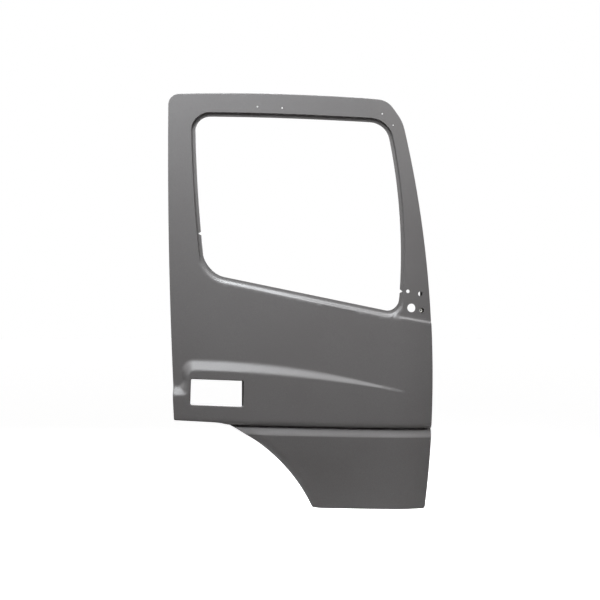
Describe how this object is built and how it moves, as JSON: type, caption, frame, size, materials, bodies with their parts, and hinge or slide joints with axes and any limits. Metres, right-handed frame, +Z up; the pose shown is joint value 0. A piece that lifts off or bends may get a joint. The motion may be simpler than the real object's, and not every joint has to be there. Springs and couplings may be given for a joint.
{
  "type": "vehicle door shell",
  "caption": "Pressed steel shell of a cab-over lorry door with a framed window opening, a hemmed outer skin, a deep inner panel and a wheel-arch corner.",
  "frame": {"origin": "on the front wall of the inner panel, 21 mm above the middle of the upper hinge and 5 mm outboard of the trim face", "axes": "+Z up the door, +X to the front of the vehicle, -Y outboard to the side that is seen from outside"},
  "size_m": [0.969, 0.1316, 1.5264],
  "materials": {
    "outer_sheet": "satin grey primer",
    "inner_sheet": "satin grey primer",
    "reinforcement_sheet": "satin grey primer",
    "beam_tube": "satin grey primer",
    "plated_steel": "zinc plated",
    "foam_pad": "matte"
  },
  "bodies": {
    "root": {"anti_flutter_pad_front": "foam_pad", "anti_flutter_pad_middle": "foam_pad", "anti_flutter_pad_rear": "foam_pad", "beam_bracket_front": "reinforcement_sheet", "beam_bracket_rear": "reinforcement_sheet", "check_strap_plate": "reinforcement_sheet", "front_pillar_reinforcement": "reinforcement_sheet", "glass_bracket_front": "reinforcement_sheet", "glass_bracket_rear": "reinforcement_sheet", "glass_channel_front": "reinforcement_sheet", "glass_channel_rear": "reinforcement_sheet", "handle_reinforcement": "reinforcement_sheet", "header_reinforcement": "reinforcement_sheet", "hinge_reinforcement_lower": "reinforcement_sheet", "hinge_reinforcement_upper": "reinforcement_sheet", "hinge_tapping_plate_lower": "plated_steel", "hinge_tapping_plate_upper": "plated_steel", "inner_panel": "inner_sheet", "intrusion_beam": "beam_tube", "latch_reinforcement": "reinforcement_sheet", "mirror_bush": "plated_steel", "mirror_reinforcement": "reinforcement_sheet", "outer_skin": "outer_sheet", "rear_pillar_reinforcement": "reinforcement_sheet", "waist_rail_inner": "reinforcement_sheet", "waist_rail_outer": "reinforcement_sheet"}
  },
  "joints": []
}
